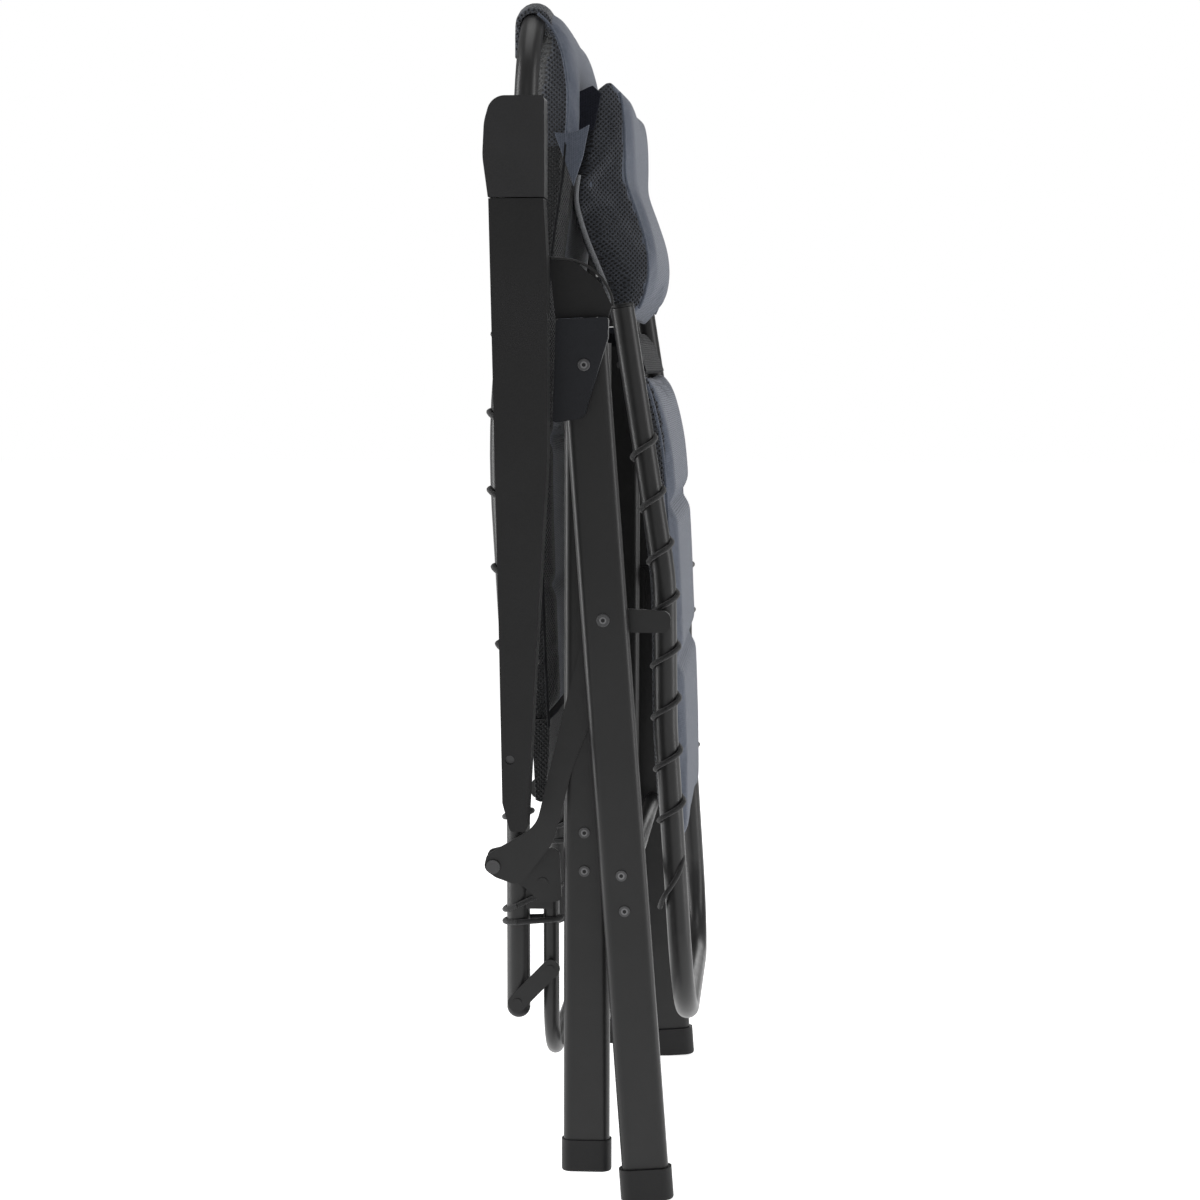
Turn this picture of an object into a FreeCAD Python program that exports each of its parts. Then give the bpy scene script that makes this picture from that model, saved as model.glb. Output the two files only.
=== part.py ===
"""Folding camp chair, shown folded flat.

+X is the front of the chair, +Y its left side, +Z up. The origin is on the floor under the middle
of the folded chair. Lengths are millimetres. Left and right pieces are mirror images.
"""
import FreeCAD, Part
import math
import os

from FreeCAD import Vector

# Origin: the profile points below are in the sketch frame, which is moved by SHIFT_X at export.
SHIFT_X = 9.65

# Pivots in the side plane, as (x, z) in the sketch frame
APEX = (-10.6, 771.0)
SEAT_PIVOT = (5.6, 539.0)
BACK_HINGE = (-98.0, 307.0)
ARM_PIVOT = (-75.0, 417.0)
STOP_RIVET = (-54.0, 288.0)

# Legs: a flat oval profile
LEG_WIDE = 43.0
LEG_DEEP = 19.0
LEG_ROUND = 8.0
LEG_WALL = 1.6
FRONT_FOOT = (46.5, 0.0)
REAR_FOOT = (-12.0, 19.0)
LEG_TOP = 20.0
FOOT_CAP_HIGH = 30.0
FOOT_CAP_WALL = 3.0
FRONT_STRETCHER = (24.0, 288.0)
REAR_STRETCHER = (-12.0, 112.0)
STRETCHER_R = 8.0

# Side planes: distance of each layer from the middle of the chair
SEAT_RAIL_Y = 204.0
BACK_TUBE_Y = 231.0
HINGE_PLATE_Y = (243.2, 246.0)
REAR_LEG_Y = (247.5, 266.5)
LINK_Y = (267.5, 270.0)
SEAT_PLATE_Y = (271.2, 273.7)
FRONT_LEG_Y = (275.0, 294.0)
BRACKET_Y = (296.0, 309.0)
ARMREST_Y = (312.0, 344.0)

# Round tubes
TUBE_R = 11.0
TUBE_WALL = 1.5
SMALL_TUBE_R = 7.5
TUBE_BEND = 60.0

# Back frame: side profile of the tube, then the arch at the top
BACK_BOTTOM = (-78.0, 168.0)
BACK_PROFILE = [BACK_BOTTOM, (-78.0, 405.0), (-95.0, 700.0), (-70.0, 1000.0), (-67.0, 1095.0)]
BACK_BENDS = [500.0, 900.0, 350.0]
ARCH_BEND = 90.0

# Seat frame: side profile of the rail, from its rear end to the front bend
SEAT_PROFILE = [(18.0, 824.0), (58.0, 570.0), (59.5, 430.0), (78.0, 145.0)]
SEAT_BENDS = [260.0, 400.0]
SEAT_BEND = 90.0
SEAT_CROSSBAR = (18.5, 790.0)

# U-shaped lower tube of the back
LOWER_U_X = -47.0
LOWER_U_TOP = 300.0
LOWER_U_BOTTOM = 118.0

# Soft parts
PAD_HALF = 189.0
BACK_PAD_BOTTOM = 425.0
PILLOW_HALF = 165.0
STRAP_OUTER = 150.0
CORD_R = 2.2

PIN_FIT = 0.05
ARM_COLLAR_R = 7.0
SCREW_R = 4.0
RIVET_HEAD_R = 5.0
RIVET_R = 2.4
FRONT_RIVETS = [(22.5, 304.0), (25.5, 271.0)]
REAR_RIVETS = [(-13.4, 339.0), (-13.4, 303.0)]


def export(name, shapes):
    """Write one node; a list of shapes becomes a group of separate solids."""
    solid = shapes[0].copy() if len(shapes) == 1 else Part.makeCompound(shapes)
    solid.translate(Vector(SHIFT_X, 0, 0))
    volume = sum(part.Volume for part in solid.Solids)
    print(f"{name:24s} solids {len(solid.Solids):3d} valid {solid.isValid()} volume {volume:10.0f}")
    solid.exportStep(f"parts/{name}.step")


def mirrored(shape):
    return shape.mirror(Vector(0, 0, 0), Vector(0, 1, 0))


def export_sides(name, shapes):
    """Shapes are drawn on the left; the right side is their mirror image."""
    export(name + "_left", shapes)
    export(name + "_right", [mirrored(shape) for shape in shapes])


def both(shapes):
    return shapes + [mirrored(shape) for shape in shapes]


def bent_path(points, bends):
    """Straight runs joined by tangent arcs; bends gives the radius at each inner point."""
    edges = []
    start = points[0]
    for corner, after, bend in zip(points[1:-1], points[2:], bends):
        arriving = (corner - start).normalize()
        leaving = (after - corner).normalize()
        turn = arriving.getAngle(leaving)
        setback = bend * math.tan(turn / 2)
        arc_start = corner - arriving * setback
        arc_end = corner + leaving * setback
        inward = (leaving - arriving).normalize()
        centre = corner + inward * (bend / math.cos(turn / 2))
        middle = centre - inward * bend
        if (arc_start - start).Length > 0.01:
            edges.append(Part.LineSegment(start, arc_start).toShape())
        edges.append(Part.Arc(arc_start, middle, arc_end).toShape())
        start = arc_end
    edges.append(Part.LineSegment(start, points[-1]).toShape())
    return Part.Wire(edges)


def rod(points, bends, radius):
    path = bent_path(points, bends)
    heading = points[1] - points[0]
    ring = Part.Wire([Part.makeCircle(radius, points[0], heading)])
    return path.makePipeShell([ring], True, True)


def tube(points, bends, radius, wall):
    return rod(points, bends, radius).cut(rod(points, bends, radius - wall))


def across(centre, radius, y_range):
    """A round pin along Y."""
    low, high = y_range
    return Part.makeCylinder(radius, high - low, Vector(centre[0], low, centre[1]), Vector(0, 1, 0))


def outline_wire(points, y):
    """A closed side outline: each entry is (x, z), or (x, z, radius) for a rounded corner."""
    count = len(points)
    corners = []
    for index, point in enumerate(points):
        here = Vector(point[0], y, point[1])
        before = points[index - 1]
        after = points[(index + 1) % count]
        arriving = (here - Vector(before[0], y, before[1])).normalize()
        leaving = (Vector(after[0], y, after[1]) - here).normalize()
        if len(point) == 2:
            corners.append((here, None, here))
            continue
        turn = arriving.getAngle(leaving)
        setback = point[2] * math.tan(turn / 2)
        inward = (leaving - arriving).normalize()
        middle = here + inward * (point[2] / math.cos(turn / 2) - point[2])
        corners.append((here - arriving * setback, middle, here + leaving * setback))
    edges = []
    for index, (first, middle, last) in enumerate(corners):
        if middle is not None:
            edges.append(Part.Arc(first, middle, last).toShape())
        following = corners[(index + 1) % count][0]
        if (following - last).Length > 0.01:
            edges.append(Part.LineSegment(last, following).toShape())
    return Part.Wire(edges)


def plate(points, y_range):
    low, high = y_range
    face = Part.Face(outline_wire(points, low))
    return face.extrude(Vector(0, high - low, 0))


def soften(solid, radius):
    """Round every edge, or leave the solid sharp where that cannot be built."""
    try:
        rounded = solid.makeFillet(radius, solid.Edges)
    except Part.OCCError:
        return solid
    return rounded if rounded.isValid() else solid


def leg_profile(grow, height):
    """Flat oval bar standing on z = 0, centred on the axis."""
    wide = LEG_WIDE + 2 * grow
    deep = LEG_DEEP + 2 * grow
    bar = Part.makeBox(wide, deep, height, Vector(-wide / 2, -deep / 2, 0))
    upright = [edge for edge in bar.Edges if abs(edge.BoundBox.ZLength - height) < 0.01]
    return bar.makeFillet(LEG_ROUND + grow, upright)


def leg_frame(foot, y_range):
    """How far a leg leans, its length from foot to apex, and the y of its middle."""
    lean = math.degrees(math.atan2(APEX[0] - foot[0], APEX[1] - foot[1]))
    length = math.dist(APEX, foot)
    return lean, length, sum(y_range) / 2


def stand(shape, foot, y_range):
    """Move a bar drawn on the origin to its leg."""
    lean, _, middle = leg_frame(foot, y_range)
    shape.rotate(Vector(0, 0, 0), Vector(0, 1, 0), lean)
    shape.translate(Vector(foot[0], middle, foot[1]))
    return shape


def leg(foot, y_range, holes, rivets):
    _, length, _ = leg_frame(foot, y_range)
    outer = leg_profile(0, length + LEG_TOP - FOOT_CAP_WALL)
    inner = leg_profile(-LEG_WALL, length + LEG_TOP)
    inner.translate(Vector(0, 0, -1))
    bar = outer.cut(inner)
    lid = leg_profile(-LEG_WALL, 2.0)
    lid.translate(Vector(0, 0, length + LEG_TOP - FOOT_CAP_WALL - 2.0))
    bar = bar.fuse(lid)
    bar.translate(Vector(0, 0, FOOT_CAP_WALL))
    bar = stand(bar, foot, y_range)
    for centre, radius in holes:
        bar = bar.cut(across(centre, radius, (y_range[0] - 1, y_range[1] + 1)))
    for centre in rivets:
        bar = bar.cut(across(centre, RIVET_R, (y_range[1] - 2 * LEG_WALL, y_range[1] + 1)))
    return bar


def foot_cap(foot, y_range, grow):
    """A rubber cap round the end of a leg, flat where it meets the floor."""
    shell = leg_profile(grow, FOOT_CAP_HIGH)
    base = [edge for edge in shell.Edges if edge.BoundBox.ZMax < 0.01]
    shell = shell.makeFillet(2.0, base)
    pocket = leg_profile(0, FOOT_CAP_HIGH)
    pocket.translate(Vector(0, 0, FOOT_CAP_WALL))
    cap = stand(shell.cut(pocket), foot, y_range)
    floor = Part.makeBox(400, 400, 20, Vector(foot[0] - 200, sum(y_range) / 2 - 200, foot[1] - 20))
    return cap.cut(floor)


def make_legs():
    clear = SCREW_R + PIN_FIT
    front_holes = [(APEX, clear), (SEAT_PIVOT, clear)]
    export_sides("front_leg", [leg(FRONT_FOOT, FRONT_LEG_Y, front_holes, FRONT_RIVETS)])
    export_sides("rear_leg", [leg(REAR_FOOT, REAR_LEG_Y, [(APEX, clear)], REAR_RIVETS)])
    export_sides("front_foot", [foot_cap(FRONT_FOOT, FRONT_LEG_Y, 3.0)])
    export_sides("rear_foot", [foot_cap(REAR_FOOT, REAR_LEG_Y, 1.8)])
    front_half = FRONT_LEG_Y[0]
    rear_half = REAR_LEG_Y[0]
    for name, centre, half in (("front_stretcher", FRONT_STRETCHER, front_half),
                               ("rear_stretcher", REAR_STRETCHER, rear_half)):
        outer = across(centre, STRETCHER_R, (-half, half))
        export(name, [outer.cut(across(centre, STRETCHER_R - TUBE_WALL, (-half - 1, half + 1)))])


def screw(centre, y_range, head_r, head_high):
    """A pivot screw whose domed head is on the outside."""
    low, high = y_range
    shank = across(centre, SCREW_R, (low, high))
    head = across(centre, head_r, (high, high + head_high))
    rim = [edge for edge in head.Edges if abs(edge.BoundBox.YMin - high - head_high) < 0.01]
    head = head.makeFillet(head_high * 0.45, rim[:1])
    socket = across(centre, head_r * 0.42, (high + head_high * 0.4, high + head_high + 1))
    return shank.fuse(head).cut(socket)


def rivet(centre, outside):
    """The head of a rivet and its short shank, standing on the face at y = outside."""
    head = across(centre, RIVET_HEAD_R, (outside, outside + 1.4))
    return head.fuse(across(centre, RIVET_R, (outside - LEG_WALL, outside)))


def make_fasteners():
    apex = screw(APEX, (REAR_LEG_Y[0] + 0.4, BRACKET_Y[1]), 5.5, 2.2)
    export("apex_screws", both([apex]))
    export("seat_pivot_screws", both([screw(SEAT_PIVOT, (LINK_Y[0], FRONT_LEG_Y[1]), 6.0, 1.4)]))
    apex_spacer = across(APEX, 9.0, (REAR_LEG_Y[1], FRONT_LEG_Y[0]))
    export("apex_spacers", both([apex_spacer.cut(across(APEX, SCREW_R, (200, 300)))]))
    export("front_leg_rivets", both([rivet(centre, FRONT_LEG_Y[1]) for centre in FRONT_RIVETS]))
    export("rear_leg_rivets", both([rivet(centre, REAR_LEG_Y[1]) for centre in REAR_RIVETS]))


def frame_route(profile, half, side_bends, end_bend):
    """A U-shaped frame: along one side, across, and back along the other side."""
    side = [Vector(x, half, z) for x, z in profile]
    other = [Vector(point.x, -point.y, point.z) for point in reversed(side)]
    return [*side, *other], [*side_bends, end_bend, end_bend, *reversed(side_bends)]


def back_route():
    return frame_route(BACK_PROFILE, BACK_TUBE_Y, BACK_BENDS, ARCH_BEND)


def seat_route():
    return frame_route(SEAT_PROFILE, SEAT_RAIL_Y, SEAT_BENDS, SEAT_BEND)


def make_back():
    frame = tube(*back_route(), TUBE_R, TUBE_WALL)
    pin_hole = across(ARM_PIVOT, SCREW_R + PIN_FIT, (BACK_TUBE_Y - 20, BACK_TUBE_Y + 20))
    export("back_frame", [frame.cut(pin_hole).cut(mirrored(pin_hole))])
    bottom = Vector(BACK_BOTTOM[0], BACK_TUBE_Y, BACK_BOTTOM[1])
    plug = Part.makeSphere(TUBE_R, bottom)
    plug = plug.common(Part.makeBox(40, 40, 20, bottom - Vector(20, 20, 20)))
    stem = Part.makeCylinder(TUBE_R - TUBE_WALL, 12, bottom)
    export_sides("back_tube_plug", [plug.fuse(stem)])
    export_sides("back_pivot_lug", [make_pivot_lug()])
    export("lower_back_tube", [make_lower_u()])
    export_sides("lower_link", [make_lower_link()])
    export_sides("tube_clamp", [make_tube_clamp()])


def make_pivot_lug():
    """The ear welded to the rear of the back tube, which turns on the hinge screw."""
    x, z = BACK_HINGE
    ear = plate([(x - 9, z - 9, 6), (-80, z - 16, 3), (-80, z + 16, 3), (x - 9, z + 9, 6)],
                (BACK_TUBE_Y - 3, BACK_TUBE_Y + 3))
    tube_space = Part.makeCylinder(TUBE_R, 100, Vector(BACK_BOTTOM[0], BACK_TUBE_Y, z - 50))
    return ear.cut(tube_space).cut(across(BACK_HINGE, SCREW_R + PIN_FIT, (200, 260)))


def make_lower_u():
    """Smaller U-shaped tube that joins the two sides below the back pad."""
    half = BACK_TUBE_Y
    points = [Vector(LOWER_U_X, half, LOWER_U_TOP), Vector(LOWER_U_X, half, LOWER_U_BOTTOM),
              Vector(LOWER_U_X, -half, LOWER_U_BOTTOM), Vector(LOWER_U_X, -half, LOWER_U_TOP)]
    return tube(points, [TUBE_BEND, TUBE_BEND], SMALL_TUBE_R, TUBE_WALL)


def make_lower_link():
    """Flat strap from the foot of the back tube to the lower tube."""
    start = Vector(BACK_BOTTOM[0], 0, BACK_BOTTOM[1] + 6)
    end = Vector(LOWER_U_X, 0, 206)
    along = (end - start).normalize()
    side = Vector(-along.z, 0, along.x) * 8.5
    corners = [start - along * 9 - side, end + along * 9 - side, end + along * 9 + side,
               start - along * 9 + side]
    strap = plate([(corner.x, corner.z, 8) for corner in corners], HINGE_PLATE_Y)
    for centre in (start, end):
        strap = strap.fuse(across((centre.x, centre.z), 4.0, (HINGE_PLATE_Y[1], HINGE_PLATE_Y[1] + 1)))
    return strap


def make_tube_clamp():
    """Block between the back tube and the lower tube."""
    block = Part.makeBox(34, 16, 18, Vector(-79, BACK_TUBE_Y - 8, 262))
    for x, radius in ((BACK_BOTTOM[0], TUBE_R), (LOWER_U_X, SMALL_TUBE_R)):
        block = block.cut(Part.makeCylinder(radius, 100, Vector(x, BACK_TUBE_Y, 200)))
    return max(block.Solids, key=lambda solid: solid.Volume)


def make_links():
    """The bent link from the front leg to the back, and the hinge plate it carries."""
    a_x, a_z = SEAT_PIVOT
    b_x, b_z = BACK_HINGE
    link = plate([(a_x - 12, a_z + 12, 10), (a_x + 13, a_z + 8, 10), (a_x + 9, a_z - 40, 40),
                  (-24, 400, 60), (-42, 330, 40), (-74, 289, 12), (b_x + 2, b_z - 10, 8),
                  (b_x - 9, b_z - 2, 8), (b_x - 6, b_z + 11, 8), (-58, 345, 30),
                  (-33, 450, 60)], LINK_Y)
    for centre in (SEAT_PIVOT, BACK_HINGE):
        link = link.cut(across(centre, SCREW_R + PIN_FIT, (200, 300)))
    export_sides("back_link", [link])
    hinge = plate([(b_x - 7, b_z - 5, 6), (-70, 283, 30), (-56, 269, 8), (-36, 271, 6),
                   (-38, 322, 8), (b_x - 2, b_z + 9, 7)], HINGE_PLATE_Y)
    hinge = hinge.cut(across(BACK_HINGE, SCREW_R + PIN_FIT, (200, 300)))
    hinge = hinge.fuse(across(STOP_RIVET, 5, (HINGE_PLATE_Y[1], HINGE_PLATE_Y[1] + 0.9)))
    export_sides("hinge_plate", [hinge])
    pin = across(BACK_HINGE, SCREW_R, (BACK_TUBE_Y - 5, LINK_Y[1]))
    head = across(BACK_HINGE, 6.5, (LINK_Y[1], LINK_Y[1] + 2.5))
    export_sides("hinge_pin", [pin.fuse(head)])


def make_seat():
    solid_frame = rod(*seat_route(), TUBE_R)
    export("seat_frame", [tube(*seat_route(), TUBE_R, TUBE_WALL)])
    gap = SEAT_RAIL_Y - TUBE_R + 2
    bar = across(SEAT_CROSSBAR, SMALL_TUBE_R, (-gap, gap))
    bar = bar.cut(across(SEAT_CROSSBAR, SMALL_TUBE_R - TUBE_WALL, (-gap - 1, gap + 1)))
    export("seat_crossbar", [bar.cut(solid_frame)])
    export_sides("seat_rail_sleeve", [make_sleeve()])
    export_sides("seat_pivot_bracket", [make_seat_bracket().cut(solid_frame)])


def make_sleeve():
    """Plastic end sleeve over the rear end of a seat rail."""
    first = Vector(SEAT_PROFILE[0][0], SEAT_RAIL_Y, SEAT_PROFILE[0][1])
    along = (Vector(SEAT_PROFILE[1][0], SEAT_RAIL_Y, SEAT_PROFILE[1][1]) - first).normalize()
    body = Part.makeCylinder(TUBE_R - TUBE_WALL, 20, first, along)
    head = Part.makeCylinder(TUBE_R, 4, first - along * 4, along)
    return body.fuse(soften(head, 1.5))


def make_seat_bracket():
    """Plate on the seat pivot with a spacer out to the seat rail."""
    a_x, a_z = SEAT_PIVOT
    rail = (57.5, a_z - 2)
    arm = plate([(a_x - 11, a_z + 11, 9), (rail[0] + 9, rail[1] + 9, 8), (rail[0] + 9, rail[1] - 11, 8),
                 (a_x - 11, a_z - 13, 9)], SEAT_PLATE_Y)
    arm = arm.cut(across(SEAT_PIVOT, SCREW_R + PIN_FIT, (200, 300)))
    return arm.fuse(across(rail, 6.0, (SEAT_RAIL_Y + TUBE_R - 1.5, SEAT_PLATE_Y[0] + 0.5)))


def make_armrests():
    body = plate([(-88, 690), (-93, 918), (-44, 918), (-41, 860), (-41, 690), (-50.6, 523),
                  (-60, 352, 4), (-75, 352, 3), (-82, 378), (-84.5, 523)], ARMREST_Y)
    body = body.cut(across(ARM_PIVOT, SCREW_R + PIN_FIT, (300, 350)))
    channel = plate([(-83, 700), (-85, 900), (-49, 900), (-46, 700), (-56, 540), (-62, 440),
                     (-79, 440), (-80, 540)], (ARMREST_Y[0] - 1, ARMREST_Y[0] + 12))
    export_sides("armrest", [body.cut(channel)])
    cap = plate([(-93.2, 919), (-98, 955, 60), (-96.5, 985, 40), (-90, 1008, 16), (-43, 1008, 4), (-43, 919)],
                (ARMREST_Y[0] - 2, ARMREST_Y[1] + 2))
    export_sides("armrest_cap", [cap])
    export_sides("armrest_rack", [make_rack()])
    pin = across(ARM_PIVOT, SCREW_R, (BACK_TUBE_Y - 6, ARMREST_Y[1] - 3))
    collar = across(ARM_PIVOT, ARM_COLLAR_R, (BACK_TUBE_Y + TUBE_R + 2, ARMREST_Y[0] - 1.5))
    export_sides("armrest_pivot", [collar.fuse(pin)])


def make_rack():
    """Toothed strip in the channel on the inner face of the armrest."""
    strip = Part.makeBox(9, 8, 180, Vector(-60, ARMREST_Y[0] + 3.9, 690))
    for step in range(7):
        notch = across((-51, 712 + 22 * step), 4.5, (300, 330))
        strip = strip.cut(notch)
    return strip


def make_apex_brackets():
    outline = [(-36, 812, 3), (11.5, 814, 3), (11, 795), (3, 769), (-7, 738), (-10, 726, 5),
               (-16, 722), (-39, 719, 3)]
    bracket = plate(outline, BRACKET_Y)
    pocket = plate([(-33, 806, 3), (6, 806, 3), (0, 775), (-11, 740), (-20, 728), (-34, 726, 3)],
                   (BRACKET_Y[0] - 1, BRACKET_Y[0] + 8))
    post = across(APEX, 9.0, BRACKET_Y)
    bracket = bracket.cut(pocket).fuse(post).cut(across(APEX, SCREW_R + PIN_FIT, (290, 330)))
    export_sides("apex_bracket", [bracket])
    guard = plate([(-37, 812.5), (-43, 868), (-18, 863, 12), (5, 843, 12), (14, 824), (11, 814.5)],
                  (BRACKET_Y[0], BRACKET_Y[0] + 3))
    export_sides("lock_cover", [guard])


def pad(points, half, radius):
    """A plain closed cushion: a side outline carried across the chair."""
    return soften(plate(points, (-half, half)), radius)


def make_soft_parts():
    back = pad([(-74, BACK_PAD_BOTTOM), (-60, BACK_PAD_BOTTOM), (-54, 520), (-58, 700),
                (-46, 860), (-28, 950), (-20, 1020), (-24, 1072), (-40, 1099), (-54, 1082),
                (-57, 1000), (-78, 840), (-84, 700), (-78, 560)], PAD_HALF, 4)
    export("back_pad", [back])
    seat = pad([(24, 772), (40, 762), (60, 700), (68, 640), (73, 544), (75, 440), (78, 310),
                (64, 304), (52, 440), (50, 560), (37, 660)], PAD_HALF, 4)
    export("seat_pad", [seat])
    pillow = pad([(-9, 1028), (8, 1037), (15, 1029), (29, 985), (31, 944), (50, 896), (52, 866),
                  (34, 824), (16, 809), (7, 832), (-12, 878), (-27, 925), (-14, 990)], PILLOW_HALF, 5)
    export("headrest_pillow", [pillow])
    strap = plate([(-25, 985), (-14, 992), (-8, 1026), (-20, 1030)], (96, STRAP_OUTER))
    strap = strap.cut(pillow).cut(back)
    export_sides("headrest_strap", [max(strap.Solids, key=lambda solid: solid.Volume)])


def lacing(route, stations, half, edges):
    """Elastic loops from the pad edge round a tube, one for each station.

    edges gives how far in front of the tube's axis each loop starts and ends at the pad.
    """
    loops = []
    reach = TUBE_R + CORD_R + 0.2
    slope_room = 0.7  # the tube leans while a loop climbs it
    beside = reach + slope_room
    inner = PAD_HALF + 4
    axis = bent_path(*route).discretize(900)
    side = [point for point in axis if point.y > half - 1]
    for low in stations:
        high = low + 26
        x_low = min(side, key=lambda point: abs(point.z - low)).x
        x_high = min(side, key=lambda point: abs(point.z - high)).x
        points = [Vector(x_low + edges[0], inner, low), Vector(x_low + beside, half - 4, low + 3),
                  Vector(x_low + beside, half + reach, low + 8),
                  Vector(x_high - beside, half + reach, high - 8),
                  Vector(x_high - beside, half - 4, high - 3), Vector(x_high + edges[1], inner, high)]
        loops.append(rod(points, [8.0, 8.5, 8.5, 8.0], CORD_R))
    return loops


def make_lacing():
    back = [*range(490, 860, 72)]
    seat = [*range(338, 720, 49)]
    export_sides("back_lacing", lacing(back_route(), back, BACK_TUBE_Y, (20, 10)))
    export_sides("seat_lacing", lacing(seat_route(), seat, SEAT_RAIL_Y, (8, -8)))


os.makedirs("parts", exist_ok=True)
make_legs()
make_fasteners()
make_back()
make_links()
make_seat()
make_armrests()
make_apex_brackets()
make_soft_parts()
make_lacing()
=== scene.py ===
"""Looks for the folding camp chair: painted tubes, plastic, padded panels and elastic lacing."""
import math

import bmesh
import bpy
from mathutils import Matrix, Vector


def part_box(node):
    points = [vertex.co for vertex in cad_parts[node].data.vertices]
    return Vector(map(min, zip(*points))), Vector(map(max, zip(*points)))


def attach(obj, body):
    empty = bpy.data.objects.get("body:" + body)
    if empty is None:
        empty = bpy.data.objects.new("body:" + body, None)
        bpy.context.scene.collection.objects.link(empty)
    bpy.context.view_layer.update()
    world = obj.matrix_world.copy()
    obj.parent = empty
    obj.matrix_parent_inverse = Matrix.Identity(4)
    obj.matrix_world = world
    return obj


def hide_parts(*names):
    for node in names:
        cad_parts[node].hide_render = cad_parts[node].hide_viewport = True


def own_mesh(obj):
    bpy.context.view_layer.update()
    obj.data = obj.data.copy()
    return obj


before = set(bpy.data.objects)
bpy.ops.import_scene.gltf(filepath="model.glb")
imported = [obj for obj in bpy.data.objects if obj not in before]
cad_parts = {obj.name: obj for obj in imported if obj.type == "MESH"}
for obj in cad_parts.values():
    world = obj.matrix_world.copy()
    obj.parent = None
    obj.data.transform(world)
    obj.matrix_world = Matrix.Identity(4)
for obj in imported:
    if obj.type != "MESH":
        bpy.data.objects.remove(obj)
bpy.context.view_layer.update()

MM = 0.001
SHIFT_X = 9.65          # the side profiles are drawn in millimetres, this far behind the origin

PAD_HALF = 189.0        # half the width of the back and seat panels
PILLOW_HALF = 165.0
BACK_TUBE_Y = 231.0     # middle of a side tube of the back frame
SEAT_RAIL_Y = 204.0     # middle of a side tube of the seat frame
TUBE_R = 11.0
SMALL_TUBE_R = 7.5
CORD_R = 2.5
LOWER_U_X = -47.0       # the small tube below the back panel
PAINTED_SHADE_TOP = 975.0       # painted shade: below this the back panel's sides are near-black
PAINTED_SHADE_EDGE = 150.0         # and so is its front, further out than this
ARCH_BEND = 90.0        # bend radius of the back tube's top corners
ARCH_START = 960.0      # the back panel narrows above this height
ARCH_TOP = (-67.0, 1095.0)
SIDES = (("left", 1), ("right", -1))


def at(x, y, z):
    """A point of the side profiles, in the frame and in metres."""
    return Vector(((x + SHIFT_X) * MM, y * MM, z * MM))


# ---------------------------------------------------------------- materials

class Shader:
    """Small helper to build one node material."""

    def __init__(self, name, colour, rough, **sockets):
        self.material = bpy.data.materials.new(name)
        self.material.use_nodes = True
        self.tree = self.material.node_tree
        self.surface = self.tree.nodes["Principled BSDF"]
        self.surface.inputs["Base Color"].default_value = (*colour, 1)
        self.surface.inputs["Roughness"].default_value = rough
        for socket, value in sockets.items():
            self.surface.inputs[socket.replace("_", " ")].default_value = value
        self.place = self.node("ShaderNodeTexCoord").outputs["Object"]

    def node(self, kind, **settings):
        made = self.tree.nodes.new(kind)
        for name, value in settings.items():
            setattr(made, name, value)
        return made

    def link(self, source, target):
        self.tree.links.new(source, target)

    def feed(self, made, index, value):
        if isinstance(value, (int, float)):
            made.inputs[index].default_value = value
        else:
            self.link(value, made.inputs[index])

    def maths(self, operation, *values):
        made = self.node("ShaderNodeMath", operation=operation)
        for index, value in enumerate(values):
            self.feed(made, index, value)
        return made.outputs[0]

    def axes(self):
        split = self.node("ShaderNodeSeparateXYZ")
        self.link(self.place, split.inputs[0])
        return [split.outputs[axis] for axis in "XYZ"]

    def noise(self, scale, detail=3.0):
        made = self.node("ShaderNodeTexNoise")
        made.inputs["Scale"].default_value = scale
        made.inputs["Detail"].default_value = detail
        self.link(self.place, made.inputs["Vector"])
        return made.outputs["Fac"]

    def ramp(self, factor, low, high, start=0.0, end=1.0):
        made = self.node("ShaderNodeValToRGB")
        first, last = made.color_ramp.elements
        first.position = start
        first.color = (*low, 1)
        last.position = end
        last.color = (*high, 1)
        self.link(factor, made.inputs[0])
        return made.outputs[0]

    def spread(self, factor, low, high):
        """Stretch a 0 to 1 factor to low to high."""
        made = self.node("ShaderNodeMapRange")
        made.inputs["To Min"].default_value = low
        made.inputs["To Max"].default_value = high
        self.link(factor, made.inputs["Value"])
        return made.outputs[0]

    def colour(self, source):
        self.link(source, self.surface.inputs["Base Color"])

    def rough(self, source):
        self.link(source, self.surface.inputs["Roughness"])

    def bump(self, height, strength, distance):
        made = self.node("ShaderNodeBump")
        made.inputs["Strength"].default_value = strength
        made.inputs["Distance"].default_value = distance
        self.link(height, made.inputs["Height"])
        self.link(made.outputs[0], self.surface.inputs["Normal"])


SOFT_RANGE = (0.3, 0.7)     # the middle of a noise texture, where most of it lies


def scaled(colour, factor):
    return tuple(channel * factor for channel in colour)


def powder_coat(name, colour, rough):
    """Satin powder coat: a fine orange-peel skin with slight dulling."""
    shader = Shader(name, colour, rough, Specular_IOR_Level=0.34)
    patches = shader.noise(9.0)
    shader.colour(shader.ramp(patches, scaled(colour, 0.86), scaled(colour, 1.16), *SOFT_RANGE))
    shader.rough(shader.spread(shader.noise(60.0), rough - 0.06, rough + 0.08))
    shader.bump(shader.noise(1500.0, 2.0), 0.16, 0.0004)
    return shader.material


def moulded(name, colour, rough, grain=900.0):
    """Moulded plastic with a fine eroded grain."""
    shader = Shader(name, colour, rough, Specular_IOR_Level=0.32)
    patches = shader.noise(14.0)
    shader.colour(shader.ramp(patches, scaled(colour, 0.88), scaled(colour, 1.14), *SOFT_RANGE))
    shader.rough(shader.spread(shader.noise(45.0), rough - 0.05, rough + 0.07))
    shader.bump(shader.noise(grain, 4.0), 0.3, 0.0004)
    return shader.material


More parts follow.
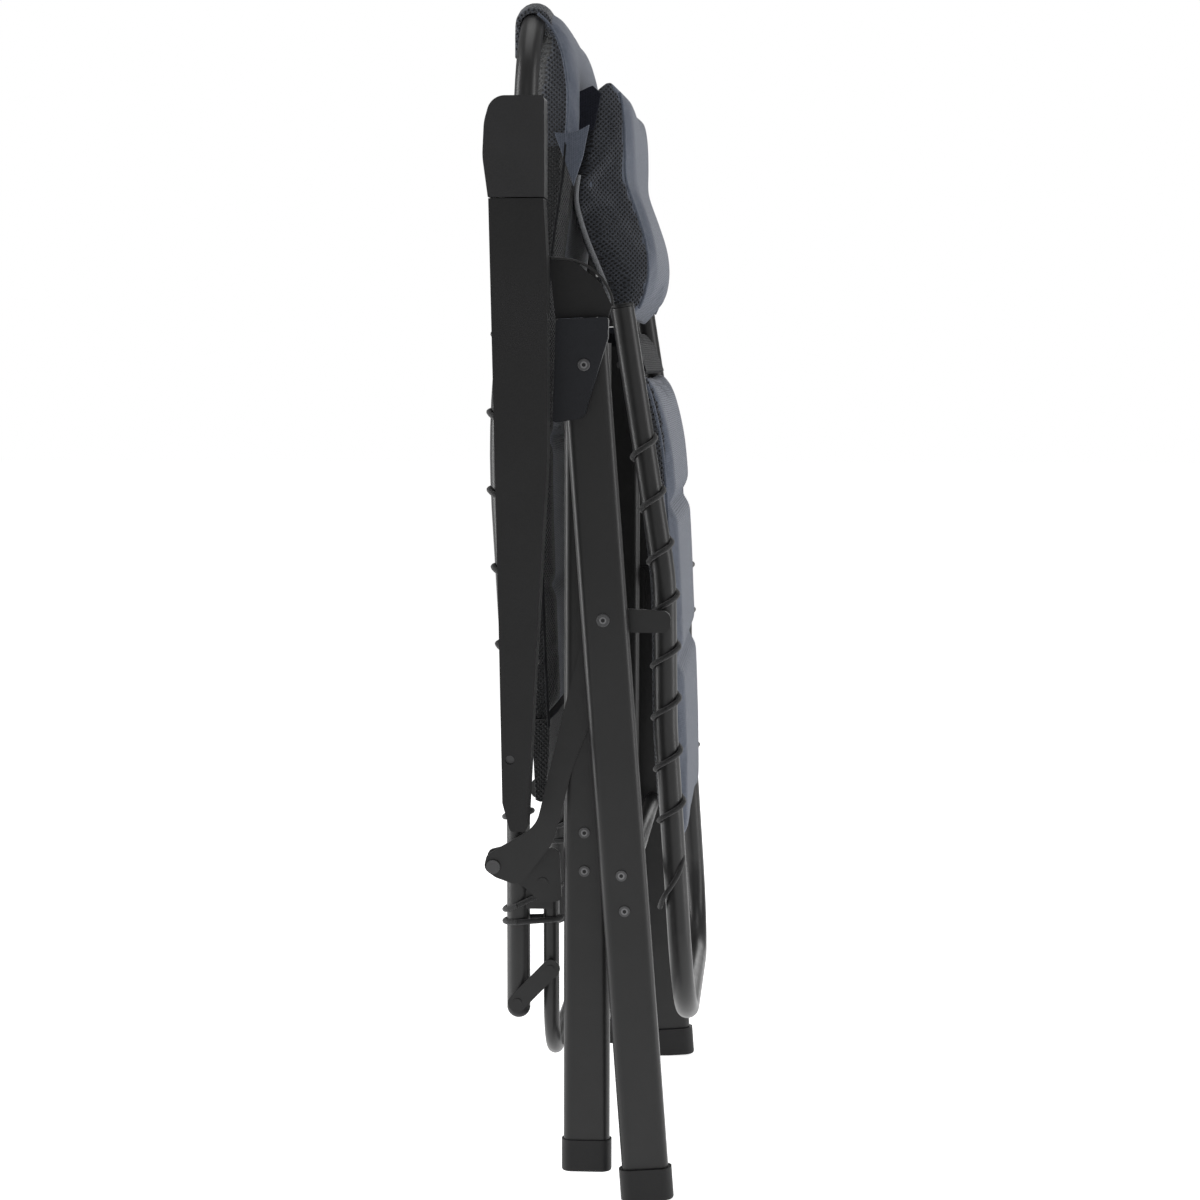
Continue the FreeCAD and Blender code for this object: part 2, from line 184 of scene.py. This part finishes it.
def wave(shader, coordinate, pitch):
    """A 0 to 1 ridge that repeats every pitch metres along a coordinate."""
    sine = shader.maths("SINE", shader.maths("MULTIPLY", coordinate, 2 * math.pi / pitch))
    return shader.maths("MULTIPLY_ADD", sine, 0.5, 0.5)


def woven(name, colour, pitch=0.0017, sheen=0.2):
    """Plain woven polyester: crossing threads with a soft melange."""
    shader = Shader(name, colour, 0.85, Sheen_Weight=sheen, Sheen_Roughness=0.4,
                    Specular_IOR_Level=0.25)
    x, y, z = shader.axes()
    across = wave(shader, shader.maths("ADD", x, y), pitch)
    down = wave(shader, shader.maths("ADD", z, shader.maths("MULTIPLY", x, 0.5)), pitch)
    threads = shader.maths("MAXIMUM", across, down)
    melange = shader.noise(420.0, 4.0)
    mixed = shader.maths("ADD", shader.maths("MULTIPLY", threads, 0.45),
                         shader.maths("MULTIPLY", melange, 0.6))
    shader.colour(shader.ramp(mixed, scaled(colour, 0.55), scaled(colour, 1.45), 0.25, 0.95))
    shader.bump(threads, 0.5, 0.0007)
    return shader.material


def spacer_mesh(name, ridge, hole, pitch=0.0046):
    """Open 3-D spacer mesh: a diagonal lattice of ridges round dark holes."""
    shader = Shader(name, ridge, 0.78, Sheen_Weight=0.15)
    x, y, z = shader.axes()
    flat = shader.maths("ADD", x, y)
    first = wave(shader, shader.maths("ADD", flat, z), pitch)
    second = wave(shader, shader.maths("SUBTRACT", flat, z), pitch)
    pits = shader.maths("MULTIPLY", first, second)
    fuzz = shader.maths("MULTIPLY", shader.noise(700.0, 4.0), 0.25)
    depth = shader.maths("ADD", pits, fuzz)
    shader.colour(shader.ramp(depth, ridge, hole, 0.3, 0.62))
    shader.bump(shader.maths("SUBTRACT", 1.0, depth), 0.9, 0.0016)
    return shader.material


def braided(name, colour, pitch=0.0016):
    """Braided cover of the elastic cord."""
    shader = Shader(name, colour, 0.7, Sheen_Weight=0.2)
    x, y, z = shader.axes()
    side = shader.maths("ADD", x, y)
    first = wave(shader, shader.maths("ADD", side, z), pitch)
    second = wave(shader, shader.maths("SUBTRACT", side, z), pitch)
    plait = shader.maths("MAXIMUM", first, second)
    shader.colour(shader.ramp(plait, scaled(colour, 0.5), scaled(colour, 1.6)))
    shader.bump(plait, 0.5, 0.0005)
    return shader.material


BLUE_GREY = (0.085, 0.097, 0.125)
PAINT = powder_coat("frame_paint", (0.0115, 0.0115, 0.0117), 0.36)
TUBE_PAINT = powder_coat("tube_paint", (0.020, 0.020, 0.0203), 0.34)
STEEL = powder_coat("dark_steel", (0.060, 0.060, 0.062), 0.28)
# light grey ring on the dark steel screw heads: a painted highlight on their rims
RIM_HIGHLIGHT = powder_coat("screw_rim_painted_highlight", (0.16, 0.16, 0.165), 0.25)
ARMREST = moulded("armrest_plastic", (0.0075, 0.0075, 0.0078), 0.52)
ARM_CAP = moulded("armrest_cap_plastic", (0.017, 0.017, 0.0178), 0.46)
BLACK = moulded("black_plastic", (0.0055, 0.0055, 0.006), 0.5)
BRACKET = moulded("bracket_plastic", (0.0045, 0.0055, 0.0085), 0.42)
FACE = woven("pad_face", BLUE_GREY)
MESH = spacer_mesh("pad_mesh", (0.044, 0.049, 0.061), (0.0012, 0.0012, 0.0016))
# near-black mesh: the skirt's own black, and painted shade low on the back panel's sides and on its
# back
BLACK_AND_SHADE_MESH = spacer_mesh("pad_mesh_black_and_painted_shade", (0.010, 0.011, 0.013), (0.001, 0.001, 0.001))
# near-black tape: the seat band's and cross tube's own colour, and painted shade on the back panel's
# lower welt
DARK_TAPE_AND_SHADE = woven("dark_tape_and_painted_shade", (0.007, 0.0075, 0.009), sheen=0.02)
PALE = woven("welt_tape", (0.16, 0.165, 0.175))
CORD = braided("lacing_cord", (0.0035, 0.0035, 0.004))
STRAP = woven("strap_webbing", (0.006, 0.007, 0.013), 0.0024, sheen=0.03)

NODE_LOOKS = (
    (("armrest_cap",), ARM_CAP),
    (("armrest_rack", "back_tube_plug", "front_foot", "rear_foot", "seat_rail_sleeve"), BLACK),
    (("armrest_pivot", "apex_screws", "seat_pivot_screws", "hinge_pin", "apex_spacers",
      "front_leg_rivets", "rear_leg_rivets"), STEEL),
    (("armrest",), ARMREST),
    (("lock_cover",), BLACK),
    (("apex_bracket",), BRACKET),
    (("seat_crossbar",), DARK_TAPE_AND_SHADE),
    (("back_frame", "seat_frame", "lower_back_tube"), TUBE_PAINT),
)


def look_for(name):
    for starts, material in NODE_LOOKS:
        if name.startswith(starts):
            return material
    return PAINT


def paint_frame():
    for name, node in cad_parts.items():
        node.data.materials.clear()
        node.data.materials.append(look_for(name))


# ---------------------------------------------------------------- shared builders

def add_object(name, data):
    piece = bpy.data.objects.new(name, data)
    bpy.context.collection.objects.link(piece)
    return piece


def add_piece(name, mesh):
    """A new object from a finished bmesh."""
    made = bpy.data.meshes.new(name)
    mesh.to_mesh(made)
    mesh.free()
    return add_object(name, made)


def skin(name, rings):
    """A closed surface over rings of equally many points, flat at both ends."""
    mesh = bmesh.new()
    rows = [[mesh.verts.new(point) for point in ring] for ring in rings]
    for before, after in zip(rows, rows[1:]):
        for index in range(len(before)):
            following = (index + 1) % len(before)
            mesh.faces.new((before[index], before[following], after[following], after[index]))
    mesh.faces.new(rows[0])
    mesh.faces.new(list(reversed(rows[-1])))
    bmesh.ops.recalc_face_normals(mesh, faces=mesh.faces)
    return add_piece(name, mesh)


def dress(piece, material):
    """This one material, shaded smooth."""
    piece.data.materials.clear()
    piece.data.materials.append(material)
    for face in piece.data.polygons:
        face.use_smooth = True


def place(piece, body):
    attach(piece, body)


# ---------------------------------------------------------------- padded panels

def loft(name, front, rear, half, crown, steps=24):
    """A closed panel from matching front and rear side curves.

    The front bulges by crown (mm) in the middle and comes in towards the sides.
    """
    rings = []
    for step in range(steps + 1):
        t = -1 + 2 * step / steps
        swell = 1 - abs(t) ** 2.6
        ring = [at(x + crown * swell, t * half, z) for x, z in front]
        ring += [at(x, t * half, z) for x, z in reversed(rear)]
        rings.append(ring)
    return skin(name, rings)


def smooth_curve(points, count, steps=12):
    """Points evenly along a smooth curve (Catmull-Rom) through a few side-profile points."""
    ends = [points[0], *points, points[-1]]
    dense = []
    for stretch in zip(ends, ends[1:], ends[2:], ends[3:]):
        for step in range(steps):
            t = step / steps
            dense.append(tuple(
                0.5 * (2 * b + (c - a) * t + (2 * a - 5 * b + 4 * c - d) * t * t
                       + (3 * b - a - 3 * c + d) * t ** 3)
                for a, b, c, d in zip(*stretch)))
    dense.append(points[-1])
    lengths = [0.0]
    for first, second in zip(dense, dense[1:]):
        lengths.append(lengths[-1] + math.dist(first, second))
    even = []
    index = 0
    for step in range(count):
        wanted = lengths[-1] * step / (count - 1)
        while index < len(lengths) - 2 and lengths[index + 1] < wanted:
            index += 1
        part = (wanted - lengths[index]) / max(lengths[index + 1] - lengths[index], 1e-9)
        even.append(tuple(a + (b - a) * part for a, b in zip(dense[index], dense[index + 1])))
    return even


def apply_modifiers(piece):
    graph = bpy.context.evaluated_depsgraph_get()
    made = bpy.data.meshes.new_from_object(piece.evaluated_get(graph))
    piece.modifiers.clear()
    old = piece.data
    piece.data = made
    bpy.data.meshes.remove(old)


def remesh(piece, voxel):
    modifier = piece.modifiers.new("voxels", "REMESH")
    modifier.mode = "VOXEL"
    modifier.voxel_size = voxel
    apply_modifiers(piece)


def inflate(piece, pressure, cap, frames=20):
    """Swell the panel as sewn cloth under pressure, then keep each point within cap metres."""
    before = [vertex.co.copy() for vertex in piece.data.vertices]
    cloth = piece.modifiers.new("cloth", "CLOTH")
    cloth.settings.use_pressure = True
    cloth.settings.uniform_pressure_force = pressure
    cloth.settings.effector_weights.gravity = 0
    cloth.settings.quality = 5
    cloth.settings.tension_stiffness = 12
    cloth.settings.compression_stiffness = 12
    cloth.settings.bending_stiffness = 1.5
    cloth.point_cache.frame_start = 1
    cloth.point_cache.frame_end = frames
    for number in range(1, frames + 1):
        bpy.context.scene.frame_set(number)
    apply_modifiers(piece)
    bpy.context.scene.frame_set(1)
    for vertex, start in zip(piece.data.vertices, before):
        move = vertex.co - start
        if move.length > cap:
            vertex.co = start + move.normalized() * cap


def sew(piece, seams, width, depth):
    """Press sewn channels across the front of the panel at these heights (all in mm)."""
    for vertex in piece.data.vertices:
        pull = sum(math.exp(-((vertex.co.z / MM - height) / width) ** 2) for height in seams)
        faces_front = vertex.normal.x > 0.2
        if faces_front:
            vertex.co.x -= pull * depth * MM * vertex.normal.x


def round_off(piece):
    modifier = piece.modifiers.new("smooth", "SUBSURF")
    modifier.levels = 1
    modifier.render_levels = 1
    apply_modifiers(piece)
    for face in piece.data.polygons:
        face.use_smooth = True


def two_fabrics(piece, is_back):
    """Woven face in front, spacer mesh on the sides and behind.

    The back panel has painted shade, a near-black mesh, behind, and on its sides and along its edges
    below PAINTED_SHADE_TOP.
    """
    woven_face, mesh_side, painted_shade_mesh = range(3)
    piece.data.materials.clear()
    for material in (FACE, MESH, BLACK_AND_SHADE_MESH):
        piece.data.materials.append(material)
    for face in piece.data.polygons:
        # painted shade: near-black mesh low on the back panel's sides and outer front, and all over
        # its back
        low = is_back and face.center.z < PAINTED_SHADE_TOP * MM
        if face.normal.x > 0.45 or abs(face.normal.z) > 0.92:
            outer = abs(face.center.y) > PAINTED_SHADE_EDGE * MM
            face.material_index = painted_shade_mesh if low and outer else woven_face
        else:
            behind = is_back and face.normal.x < -0.6
            face.material_index = painted_shade_mesh if low or behind else mesh_side


def arch_drop(y):
    """How far the arched top tube lies below its highest run, y metres out."""
    out = min(max(abs(y) / MM - (BACK_TUBE_Y - ARCH_BEND), 0.0), ARCH_BEND)
    return ARCH_BEND - math.sqrt(ARCH_BEND ** 2 - out ** 2)


def arch_share(z):
    """How much of the arch's drop applies at height z (mm)."""
    return max(0.0, (z - ARCH_START) / (ARCH_TOP[1] - ARCH_START))


def follow_arch(piece):
    """Pull the panel's top corners down along the bends of the tube."""
    for vertex in piece.data.vertices:
        vertex.co.z -= arch_share(vertex.co.z / MM) * arch_drop(vertex.co.y) * MM


def make_panel(name, front, rear, half, crown, seams, body, node, pressure=4.0, cap=0.008,
               groove=(6.0, 5.0), is_back=False):
    """One padded panel; groove is the width and depth of its seams."""
    count = 40
    piece = loft(name, smooth_curve(front, count), smooth_curve(rear, count), half, crown)
    if is_back:
        follow_arch(piece)
    remesh(piece, 0.005)
    inflate(piece, pressure, cap)
    sew(piece, seams, *groove)
    round_off(piece)
    two_fabrics(piece, is_back)
    place(piece, body)
    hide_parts(node)


def cord_piece(name, points, radius, material, body):
    """A smooth cord through these points."""
    curve = bpy.data.curves.new(name, "CURVE")
    curve.dimensions = "3D"
    curve.bevel_depth = radius * MM
    curve.bevel_resolution = 3
    curve.use_fill_caps = True
    spline = curve.splines.new("NURBS")
    spline.points.add(len(points) - 1)
    for target, point in zip(spline.points, points):
        target.co = (*point, 1)
    spline.use_endpoint_u = True
    spline.order_u = 3
    spline.resolution_u = 6
    line = add_object(f"{name}_line", curve)
    graph = bpy.context.evaluated_depsgraph_get()
    made = bpy.data.meshes.new_from_object(line.evaluated_get(graph))
    bpy.data.objects.remove(line)
    bpy.data.curves.remove(curve)
    piece = add_object(name, made)
    dress(piece, material)
    place(piece, body)
    return piece


def piping(name, line, half, body, radius=1.5, material=FACE, arched=False):
    """Sewn welt along both sides of a panel."""
    for side, sign in SIDES:
        route = []
        for x, z in line:
            drop = arch_share(z) * arch_drop(half * MM) if arched else 0.0
            route.append(at(x - 1.0, sign * (half + 0.5), z - drop))
        cord_piece(f"{name}_{side}", route, radius, material, body)


# Side profiles, (x, z) in millimetres, each from one end of the panel to the other.
BACK_FRONT = [(-52, 428), (-56, 520), (-60, 700), (-50, 860), (-38, 950), (-33, 1020),
              (-36, 1060), (-42, 1084), (-51, 1102), (-61, 1112)]
BACK_REAR = [(-72, 428), (-78, 560), (-84, 700), (-78, 840), (-64, 950), (-61, 1020),
             (-58, 1060), (-53, 1080), (-55, 1098), (-64, 1108)]
SEAT_FRONT = [(33, 766), (44, 745), (56, 690), (62, 610), (66, 520), (70, 420), (72, 312)]
SEAT_REAR = [(22, 764), (30, 730), (40, 650), (50, 560), (52, 460), (54, 400), (62, 308)]
PILLOW_FRONT = [(4, 1043), (14, 1026), (18, 1000), (19, 972), (20, 945), (30, 915),
                (39, 885), (41, 855), (34, 828), (21, 809)]
PILLOW_REAR = [(-10, 1033), (-16, 990), (-25, 950), (-27, 925), (-19, 895), (-9, 870),
               (1, 845), (9, 813)]


def make_pads():
    half, pillow_half = PAD_HALF - 2, PILLOW_HALF - 4
    make_panel("back_panel", BACK_FRONT, BACK_REAR, half, 1.5, (560, 700, 840, 960), "back",
               "back_pad", is_back=True)
    make_panel("seat_panel", SEAT_FRONT, SEAT_REAR, half, 0.0, (638, 490), "seat",
               "seat_pad", groove=(9.0, 8.0))
    make_panel("headrest_panel", PILLOW_FRONT, PILLOW_REAR, pillow_half, 1.0, (), "headrest",
               "headrest_pillow", pressure=5.0, cap=0.007)
    edge = smooth_curve(BACK_FRONT, 60)
    overlap = 6
    upper = [point for point in edge if point[1] > PAINTED_SHADE_TOP]
    lower = [point for point in edge if point[1] <= PAINTED_SHADE_TOP + overlap]
    piping("back_welt", upper, half, "back", arched=True)
    # below the shade line the welt is near-black tape: painted shade
    piping("back_welt_low_painted_shade", lower, half, "back", material=DARK_TAPE_AND_SHADE)
    piping("seat_welt", smooth_curve(SEAT_FRONT, 60)[2:-2], half, "seat")
    piping("headrest_welt", smooth_curve(PILLOW_FRONT, 40)[3:-3], pillow_half, "headrest")
    piping("headrest_tape", smooth_curve(PILLOW_REAR[2:], 30), pillow_half + 1, "headrest",
           radius=2.4, material=PALE)


# ---------------------------------------------------------------- sleeve over the arch

def arch_line(reach_deg, steps):
    """(centre, inward direction) along the top of the back tube, out to reach_deg round each bend."""
    x, top = ARCH_TOP
    straight = BACK_TUBE_Y - ARCH_BEND
    line = []
    for sign in (-1, 1):
        bend = []
        for step in range(steps + 1):
            turn = math.radians(reach_deg * step / steps)
            y = sign * (straight + ARCH_BEND * math.sin(turn))
            z = top - ARCH_BEND * (1 - math.cos(turn))
            bend.append((at(x, y, z), Vector((0, -sign * math.sin(turn), -math.cos(turn)))))
        if sign < 0:
            line = list(reversed(bend))
        else:
            down = Vector((0, 0, -1))
            line += [(at(x, straight * part, top), down) for part in (-0.6, -0.2, 0.2, 0.6)]
            line += bend
    return line


def make_sleeve():
    """The top of the back panel, folded over the tube and hanging down a little behind it."""
    outside, inside = TUBE_R + 6.5, TUBE_R + 1.2
    tail = 32.0
    angles = range(-40, 181, 20)
    rings = []
    for centre, inward in arch_line(24, 6):
        section = []
        for radius, turn_way in ((outside, 1), (inside, -1)):
            part = []
            for angle in angles:
                turn = math.radians(angle)
                forward = Vector((math.cos(turn), 0, 0))
                part.append(forward * radius - inward * math.sin(turn) * radius)
            part.append(Vector((-radius - 1.5, 0, 0)) + inward * tail)
            section += part[::turn_way]
        rings.append([centre + offset * MM for offset in section])
    piece = skin("back_sleeve", rings)
    remesh(piece, 0.0016)
    dress(piece, MESH)
    place(piece, "back")


# ---------------------------------------------------------------- lacing

# Middle lines of the side tubes, (x, z) in millimetres.
BACK_TUBE = [(-78, 168), (-78, 300), (-79, 405), (-87, 560), (-92.5, 690), (-88, 800),
             (-76, 930), (-70, 1000)]
SEAT_TUBE = [(18, 824), (38, 697), (55, 590), (58.6, 530), (60, 430), (63, 380),
             (71, 252), (78, 145)]


def tube_x(profile, z):
    """x of a frame's side profile at height z."""
    curve = smooth_curve(profile, 200)
    return min(curve, key=lambda point: abs(point[1] - z))[0]


def make_lacing(name, profile, half, stations, edges, body, nodes, rising=1):
    """Elastic cord from the panel's edge round the tube at each station, along both sides.

    Each turn starts in front of the tube and climbs behind it; rising of -1 is the other way
    round. Edges gives how far in front of the tube a turn leaves the panel and comes back to it.
    """
    reach = TUBE_R + CORD_R + 0.2
    inner = PAD_HALF - 3
    climb, level = 26, 3
    half_turn, steps = 80, 6
    for side, sign in SIDES:
        points = []
        for low in stations:
            high = low + climb
            x_low = tube_x(profile, low)
            x_high = tube_x(profile, high)
            points.append(at(x_low + edges[0], sign * inner, low))
            for step in range(steps + 1):
                part = step / steps
                turn = rising * math.radians(half_turn - 2 * half_turn * part)
                x = x_low + (x_high - x_low) * part + reach * math.sin(turn)
                z = low + level + (climb - 2 * level) * part
                y = half + reach * math.cos(turn) * 1.06
                points.append(at(x, sign * y, z))
            points.append(at(x_high + edges[1], sign * inner, high))
        piece = cord_piece(f"{name}_{side}", points, CORD_R, CORD, body)
        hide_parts(f"{nodes}_{side}")


def make_all_lacing():
    make_lacing("back_cord", BACK_TUBE, BACK_TUBE_Y, range(490, 860, 72), (20, 12), "back",
                "back_lacing")
    make_lacing("seat_cord", SEAT_TUBE, SEAT_RAIL_Y, range(338, 720, 49), (-8, 8), "seat",
                "seat_lacing", rising=-1)


# ---------------------------------------------------------------- flat cloth

def slab(name, outline, rows, material, body):
    """A thin closed sheet: the outline (x, z) stands at each row's (y, shift in x)."""
    piece = skin(name, [[at(x + shift, y, z) for x, z in outline] for y, shift in rows])
    bevel = piece.modifiers.new("edges", "BEVEL")
    bevel.width = 0.0006
    bevel.segments = 2
    apply_modifiers(piece)
    piece.data.materials.append(material)
    place(piece, body)
    return piece


def make_straps():
    """Webbing straps that hold the pillow to the back panel."""
    outline = [(-35, 992), (-12, 992), (-5, 1026), (-13, 1034), (-31, 1026)]
    for side, sign in SIDES:
        rows = [(sign * y, shift)
                for y, shift in ((100, 0.0), (112, 0.8), (125, 1.2), (138, 0.8), (158, 0.0))]
        piece = slab(f"headrest_tab_{side}", outline, rows, STRAP, "headrest")
        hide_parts(f"headrest_strap_{side}")


def make_side_flaps():
    """Woven flaps that close the back panel's sides behind the headrest."""
    outline = [(-47, 988), (-36, 987), (-25, 989), (-14, 995), (-20, 965), (-29, 938),
               (-36, 958)]
    for side, sign in SIDES:
        rows = [(sign * (PAD_HALF - 4 + step), 0.0) for step in (0.0, 2.0, 3.5)]
        slab(f"back_flap_{side}", outline, rows, FACE, "back")


def make_skirt():
    """Thin black mesh below the back panel, as one fixed sheet; on the chair it goes slack and
    gathers as the chair opens.
    """
    outline = [(-66, 357), (-61, 355), (-57, 357), (-53, 400), (-52, 434), (-70, 434),
               (-68, 400)]
    rows = [(-186, 0), (-120, 2), (-40, 3), (40, 3), (120, 2), (186, 0)]
    piece = slab("back_skirt", outline, rows, BLACK_AND_SHADE_MESH, "back")
    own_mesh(piece)


def make_seat_band():
    """Black fabric that joins the seat panel to its cross tube."""
    outline = [(10, 801), (21, 803), (30, 792), (40, 765), (34, 762), (22, 776), (16, 779)]
    rows = [(y, 0.0) for y in (-186, -120, -40, 40, 120, 186)]
    slab("seat_top_band", outline, rows, DARK_TAPE_AND_SHADE, "seat")


# ---------------------------------------------------------------- screws and tied ends

SOCKETS = (
    ("front_leg_rivets", "front_legs", ((22.5, 304.0), (25.5, 271.0))),
    ("rear_leg_rivets", "rear_legs", ((-13.4, 339.0), (-13.4, 303.0))),
    ("seat_pivot_screws", "front_legs", ((5.6, 539.0),)),
    ("apex_screws", "front_legs", ((-10.6, 771.0),)),
)


# kind, radius and depth (mm), corners, material
# the ring is a painted highlight, and the black hexagon is painted shade in place of the recessed
# socket
SOCKET_PARTS = (("ring", 3.3, 0.25, 24, RIM_HIGHLIGHT), ("socket", 2.1, 0.5, 6, BLACK))


def disc(name, centre, sign, radius, depth, corners, material):
    """A low, slightly tapered disc that stands on a head on one side of the chair."""
    mesh = bmesh.new()
    bmesh.ops.create_cone(mesh, cap_ends=True, segments=corners, radius1=radius * MM,
                          radius2=radius * 0.9 * MM, depth=depth * MM)
    piece = add_piece(name, mesh)
    outward = Matrix.Rotation(sign * -math.pi / 2, 4, "X")
    piece.data.transform(Matrix.Translation(centre) @ outward)
    piece.data.materials.append(material)
    return piece


def make_sockets():
    """On each visible screw and rivet head, a near-black hexagon disc standing proud as painted shade
    for the socket, and a thin bright ring as a painted highlight on its rim.
    """
    for node, body, places in SOCKETS:
        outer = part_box(node)[1][1]
        for number, (x, z) in enumerate(places):
            for side, sign in SIDES:
                centre = at(x, 0, z)
                centre.y = sign * outer
                for kind, *shape in SOCKET_PARTS:
                    name = f"{node}_{kind}_{number}_{side}"
                    place(disc(name, centre, sign, *shape), body)


def wrap(name, centre, half, radius, tilt, body, tail=None):
    """One turn of cord round a tube, tilted by so many mm from back to front."""
    x, z = centre
    for side, sign in SIDES:
        points = [] if tail is None else [at(tail[0], sign * tail[1], tail[2])]
        for step in range(13):
            turn = math.radians(90 + 30 * step)
            points.append(at(x + radius * math.cos(turn), sign * (half - radius * math.sin(turn)),
                             z + tilt * math.cos(turn)))
        cord_piece(f"{name}_{side}", points, CORD_R, CORD, body)


def lash(name, z, tilt):
    """A turn of cord round the back tube and the small inner tube together.

    It is drawn in a little, to stay clear of the hinge plate.
    """
    rear, front = BACK_TUBE[0][0], LOWER_U_X
    big, small = TUBE_R + CORD_R, SMALL_TUBE_R + CORD_R
    for side, sign in SIDES:
        points = []
        for centre, radius, start, end in ((rear, big, 90, 270), (front, small, -90, 90)):
            for step in range(7):
                turn = math.radians(start + (end - start) * step / 6)
                points.append((centre + radius * math.cos(turn), radius * math.sin(turn)))
        points.append(points[0])
        route = [at(x, sign * (BACK_TUBE_Y + y), z + tilt * (x - rear) / (front - rear))
                 for x, y in points]
        piece = cord_piece(f"{name}_{side}", route, CORD_R, CORD, "back")
        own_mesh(piece)


def make_guard_rims():
    """The rolled edge along the top of each lock cover."""
    curve = [(-41, 867), (-17, 864), (3, 851), (13, 835), (15, 824)]
    for side, sign in SIDES:
        route = [at(x, sign * 299, z) for x, z in smooth_curve(curve, 14)]
        cord_piece(f"guard_rim_{side}", route, 1.3, PAINT, "apex_brackets")


def make_wraps():
    """The ends of the lacing, tied off round the tubes."""
    wrap("back_tie", (BACK_TUBE[0][0], 351), BACK_TUBE_Y, TUBE_R + CORD_R, 3.0, "back",
         tail=(-72, 196, 425))
    lash("back_lash_upper", 266, 14.0)
    lash("back_lash_lower", 250, 2.0)
    for side, sign in SIDES:
        route = [at(66, sign * 190, 330), at(77, sign * 205, 312), at(74, sign * 216, 296),
                 at(66, sign * 219, 282), at(56, sign * 214, 268), at(54, sign * 203, 258)]
        cord_piece(f"seat_tie_{side}", route, CORD_R, CORD, "seat")


# ---------------------------------------------------------------- studio

WHITE = (1, 1, 1, 1)


def look_at(thing, target):
    thing.rotation_euler = (Vector(target) - thing.location).to_track_quat("-Z", "Y").to_euler()


def area_light(name, where, target, size, power):
    data = bpy.data.lights.new(name, "AREA")
    data.shape = "RECTANGLE"
    data.size, data.size_y = size
    data.energy = power
    light = add_object(name, data)
    light.location = where
    look_at(light, target)


def make_floor():
    """Plain white paper, a hair below the feet."""
    bpy.ops.mesh.primitive_plane_add(size=40, location=(0, 0, -0.0005))
    floor = bpy.context.object
    floor.name = "floor"
    paper = Shader("paper", (0.82, 0.82, 0.82), 0.9, Emission_Color=WHITE,
                   Emission_Strength=0.83)
    paper.colour(paper.ramp(paper.noise(1.5), (0.81, 0.81, 0.81), (0.83, 0.83, 0.83)))
    floor.data.materials.append(paper.material)


def make_world():
    """A white backdrop to look at, and a dimmer room to light by."""
    world = bpy.data.worlds.new("studio")
    world.use_nodes = True
    tree = world.node_tree
    room = tree.nodes["Background"]
    room.inputs["Color"].default_value = WHITE
    room.inputs["Strength"].default_value = 0.22
    backdrop = tree.nodes.new("ShaderNodeBackground")
    backdrop.inputs["Color"].default_value = WHITE
    backdrop.inputs["Strength"].default_value = 1.0
    seen = tree.nodes.new("ShaderNodeLightPath")
    mix = tree.nodes.new("ShaderNodeMixShader")
    tree.links.new(seen.outputs["Is Camera Ray"], mix.inputs["Fac"])
    tree.links.new(room.outputs[0], mix.inputs[1])
    tree.links.new(backdrop.outputs[0], mix.inputs[2])
    tree.links.new(mix.outputs[0], tree.nodes["World Output"].inputs["Surface"])
    bpy.context.scene.world = world


def make_studio():
    make_floor()
    make_world()
    bpy.context.scene.view_settings.view_transform = "Standard"
    middle = (0, 0, 0.6)
    area_light("left_strip", (-2.4, -0.2, 1.1), middle, (0.7, 2.6), 52)
    area_light("right_strip", (2.4, -0.3, 1.1), middle, (0.7, 2.6), 28)
    area_light("front", (0.3, -3.2, 2.3), middle, (1.6, 1.2), 5)
    area_light("top", (0, 0, 3.2), middle, (2.0, 2.0), 24)
    area_light("behind", (0.4, 3.0, 1.6), middle, (2.0, 2.0), 22)


def make_camera():
    """A long lens, from the chair's right side and a little above its middle."""
    data = bpy.data.cameras.new("camera")
    data.sensor_width = 36
    data.lens = 86.7
    camera = add_object("camera", data)
    camera.location = at(175, -2910, 771)
    look_at(camera, at(4, -310, 559))
    bpy.context.scene.camera = camera


make_camera()
make_studio()
paint_frame()
make_pads()
make_sleeve()
make_all_lacing()
make_straps()
make_side_flaps()
make_seat_band()
make_skirt()
make_sockets()
make_wraps()
make_guard_rims()
